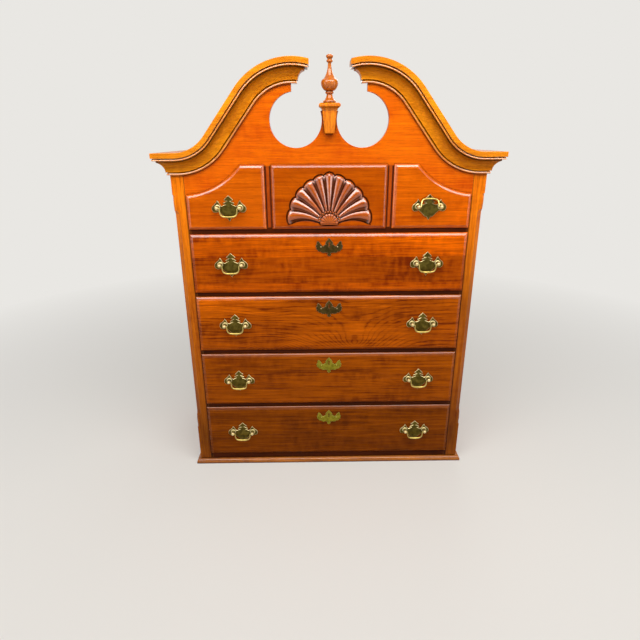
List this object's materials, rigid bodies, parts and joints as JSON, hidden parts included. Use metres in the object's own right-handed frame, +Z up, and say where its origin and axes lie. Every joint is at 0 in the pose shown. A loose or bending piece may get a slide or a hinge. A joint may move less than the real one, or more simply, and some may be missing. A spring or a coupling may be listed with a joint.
{
  "type": "highboy",
  "caption": "Upper case of a scroll-top highboy in lacquered wood, with lipped drawers, bat-wing bail pulls, a carved shell and a swan-neck pediment round a turned finial.",
  "frame": {"origin": "on the floor, under the middle of the bounding box", "axes": "+Z up, the drawers face -Y, +X to the right of someone facing the drawers"},
  "size_m": [0.952, 0.483, 1.24],
  "materials": {
    "scroll_wood": "glossy clear lacquer over orange cherry",
    "moulding_wood": "glossy clear lacquer over honey cherry",
    "drawer_wood": "glossy clear lacquer over red-brown cherry",
    "inside_wood": "bare planed wood",
    "brass": "antiqued, rubbed bright on the high points"
  },
  "bodies": {
    "case": {"left_side_panel": "drawer_wood", "left_corner_post": "moulding_wood", "left_scroll_moulding": "moulding_wood", "left_side_cornice": "moulding_wood", "left_divider": "moulding_wood", "right_side_panel": "drawer_wood", "right_corner_post": "moulding_wood", "right_scroll_moulding": "moulding_wood", "right_side_cornice": "moulding_wood", "right_divider": "moulding_wood", "scroll_board": "scroll_wood", "base_moulding": "moulding_wood", "finial_plinth": "moulding_wood", "finial": "moulding_wood", "back_panel": "inside_wood", "case_top": "inside_wood", "bottom_frame": "drawer_wood", "lower_frame": "drawer_wood", "middle_frame": "drawer_wood", "upper_frame": "drawer_wood", "top_frame": "drawer_wood"},
    "bottom_drawer": {"bottom_drawer_front": "drawer_wood", "bottom_drawer_box": "inside_wood", "bottom_drawer_left_plate": "brass", "bottom_drawer_right_plate": "brass", "bottom_drawer_escutcheon": "brass"},
    "bottom_drawer_left_bail": {"bottom_drawer_left_bail": "brass"},
    "bottom_drawer_right_bail": {"bottom_drawer_right_bail": "brass"},
    "lower_drawer": {"lower_drawer_front": "drawer_wood", "lower_drawer_box": "inside_wood", "lower_drawer_left_plate": "brass", "lower_drawer_right_plate": "brass", "lower_drawer_escutcheon": "brass"},
    "lower_drawer_left_bail": {"lower_drawer_left_bail": "brass"},
    "lower_drawer_right_bail": {"lower_drawer_right_bail": "brass"},
    "middle_drawer": {"middle_drawer_front": "drawer_wood", "middle_drawer_box": "inside_wood", "middle_drawer_left_plate": "brass", "middle_drawer_right_plate": "brass", "middle_drawer_escutcheon": "brass"},
    "middle_drawer_left_bail": {"middle_drawer_left_bail": "brass"},
    "middle_drawer_right_bail": {"middle_drawer_right_bail": "brass"},
    "upper_drawer": {"upper_drawer_front": "drawer_wood", "upper_drawer_box": "inside_wood", "upper_drawer_left_plate": "brass", "upper_drawer_right_plate": "brass", "upper_drawer_escutcheon": "brass"},
    "upper_drawer_left_bail": {"upper_drawer_left_bail": "brass"},
    "upper_drawer_right_bail": {"upper_drawer_right_bail": "brass"},
    "left_small_drawer": {"left_small_drawer_front": "drawer_wood", "left_small_drawer_box": "inside_wood", "left_small_drawer_plate": "brass"},
    "left_small_drawer_bail": {"left_small_drawer_bail": "brass"},
    "right_small_drawer": {"right_small_drawer_front": "drawer_wood", "right_small_drawer_box": "inside_wood", "right_small_drawer_plate": "brass"},
    "right_small_drawer_bail": {"right_small_drawer_bail": "brass"},
    "centre_small_drawer": {"centre_small_drawer_front": "drawer_wood", "centre_small_drawer_box": "inside_wood", "shell_carving": "scroll_wood"}
  },
  "joints": [
    {"name": "bottom_drawer_slide", "type": "slide", "parent": "case", "child": "bottom_drawer", "axis": [0, -1, 0], "range_m": [0, 0.3]},
    {"name": "bottom_drawer_left_bail_hinge", "type": "hinge", "parent": "bottom_drawer", "child": "bottom_drawer_left_bail", "pos_m": [-0.286, -0.2293, 0.12675], "axis": [-1, 0, 0], "range_deg": [-26, 206]},
    {"name": "bottom_drawer_right_bail_hinge", "type": "hinge", "parent": "bottom_drawer", "child": "bottom_drawer_right_bail", "pos_m": [0.286, -0.2293, 0.12675], "axis": [-1, 0, 0], "range_deg": [-26, 206]},
    {"name": "lower_drawer_slide", "type": "slide", "parent": "case", "child": "lower_drawer", "axis": [0, -1, 0], "range_m": [0, 0.3]},
    {"name": "lower_drawer_left_bail_hinge", "type": "hinge", "parent": "lower_drawer", "child": "lower_drawer_left_bail", "pos_m": [-0.286, -0.2293, 0.3185], "axis": [-1, 0, 0], "range_deg": [-26, 206]},
    {"name": "lower_drawer_right_bail_hinge", "type": "hinge", "parent": "lower_drawer", "child": "lower_drawer_right_bail", "pos_m": [0.286, -0.2293, 0.3185], "axis": [-1, 0, 0], "range_deg": [-26, 206]},
    {"name": "middle_drawer_slide", "type": "slide", "parent": "case", "child": "middle_drawer", "axis": [0, -1, 0], "range_m": [0, 0.3]},
    {"name": "middle_drawer_left_bail_hinge", "type": "hinge", "parent": "middle_drawer", "child": "middle_drawer_left_bail", "pos_m": [-0.286, -0.2293, 0.50825], "axis": [-1, 0, 0], "range_deg": [-26, 206]},
    {"name": "middle_drawer_right_bail_hinge", "type": "hinge", "parent": "middle_drawer", "child": "middle_drawer_right_bail", "pos_m": [0.286, -0.2293, 0.50825], "axis": [-1, 0, 0], "range_deg": [-26, 206]},
    {"name": "upper_drawer_slide", "type": "slide", "parent": "case", "child": "upper_drawer", "axis": [0, -1, 0], "range_m": [0, 0.3]},
    {"name": "upper_drawer_left_bail_hinge", "type": "hinge", "parent": "upper_drawer", "child": "upper_drawer_left_bail", "pos_m": [-0.286, -0.2293, 0.697], "axis": [-1, 0, 0], "range_deg": [-26, 206]},
    {"name": "upper_drawer_right_bail_hinge", "type": "hinge", "parent": "upper_drawer", "child": "upper_drawer_right_bail", "pos_m": [0.286, -0.2293, 0.697], "axis": [-1, 0, 0], "range_deg": [-26, 206]},
    {"name": "left_small_drawer_slide", "type": "slide", "parent": "case", "child": "left_small_drawer", "axis": [0, -1, 0], "range_m": [0, 0.3]},
    {"name": "left_small_drawer_bail_hinge", "type": "hinge", "parent": "left_small_drawer", "child": "left_small_drawer_bail", "pos_m": [-0.281, -0.2293, 0.86], "axis": [-1, 0, 0], "range_deg": [-26, 206]},
    {"name": "right_small_drawer_slide", "type": "slide", "parent": "case", "child": "right_small_drawer", "axis": [0, -1, 0], "range_m": [0, 0.3]},
    {"name": "right_small_drawer_bail_hinge", "type": "hinge", "parent": "right_small_drawer", "child": "right_small_drawer_bail", "pos_m": [0.281, -0.2293, 0.86], "axis": [-1, 0, 0], "range_deg": [-232, 0]},
    {"name": "centre_small_drawer_slide", "type": "slide", "parent": "case", "child": "centre_small_drawer", "axis": [0, -1, 0], "range_m": [0, 0.3]}
  ]
}
